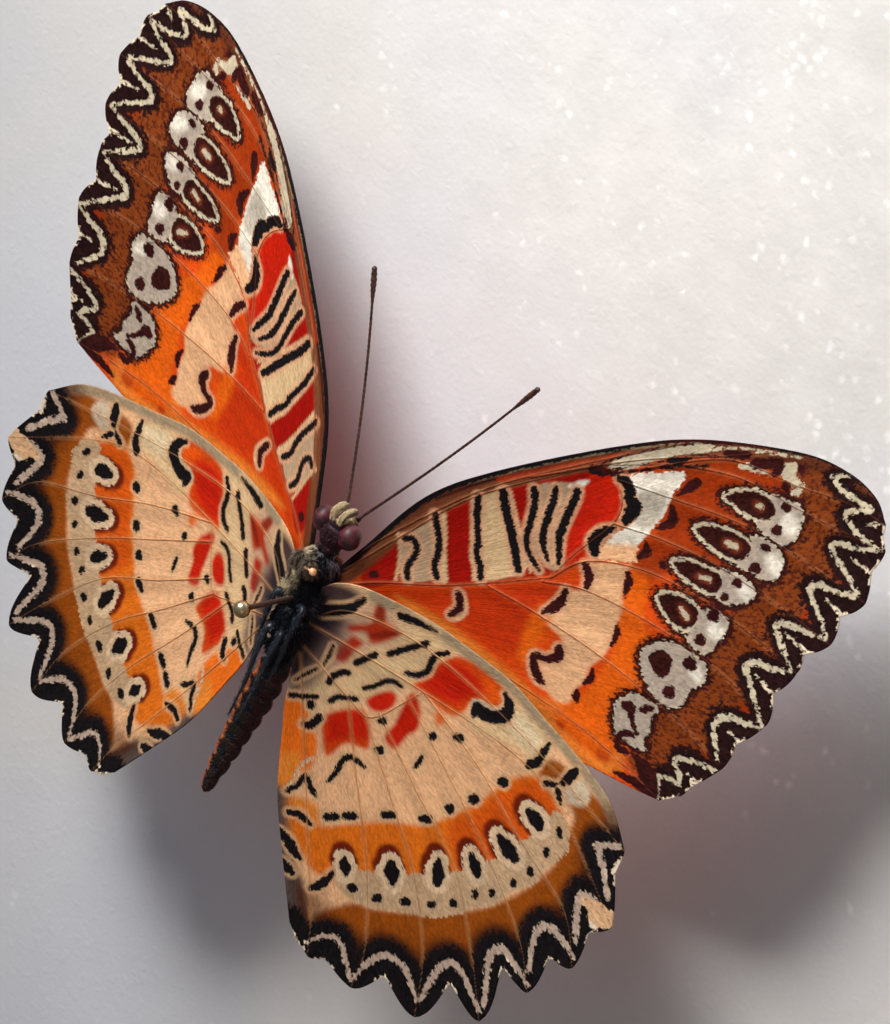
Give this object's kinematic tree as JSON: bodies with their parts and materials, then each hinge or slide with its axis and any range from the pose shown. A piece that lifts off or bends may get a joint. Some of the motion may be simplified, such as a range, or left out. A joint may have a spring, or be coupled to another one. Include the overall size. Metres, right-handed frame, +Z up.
{
  "type": "red lacewing butterfly specimen",
  "caption": "Life-size set butterfly, pinned with the patterned underside of its scalloped wings facing up over a flat board of white foam.",
  "frame": {"origin": "middle of the underside of the foam board", "axes": "+Z up and away from the underside of the wings, +Y towards the head, +X towards the wings named right"},
  "size_m": [0.14, 0.134, 0.0383],
  "materials": {
    "foam": "white foam with fine open grains, matt",
    "pin_steel": "polished steel insect pin",
    "body_scales": "blue-black scales and short hair",
    "eye": "purple-brown, glossy, finely faceted",
    "limb_cuticle": "dark brown cuticle with a slight sheen",
    "palp_hair": "cream hair",
    "forewing_scales": "matt scales in red, orange, cream, brown and black",
    "hindwing_scales": "matt scales in red, orange, cream, brown and black"
  },
  "bodies": {
    "root": {"foam_board": "foam", "pin": "pin_steel", "thorax": "body_scales", "head": "body_scales", "abdomen": "body_scales", "eye_right": "eye", "eye_left": "eye", "antenna_right": "limb_cuticle", "antenna_left": "limb_cuticle", "palp_right": "palp_hair", "palp_left": "palp_hair", "foreleg_right": "limb_cuticle", "foreleg_left": "limb_cuticle", "midleg_right": "limb_cuticle", "midleg_left": "limb_cuticle", "hindleg_right": "limb_cuticle", "hindleg_left": "limb_cuticle", "forewing_right": "forewing_scales", "forewing_left": "forewing_scales", "hindwing_right": "hindwing_scales", "hindwing_left": "hindwing_scales"}
  },
  "joints": []
}
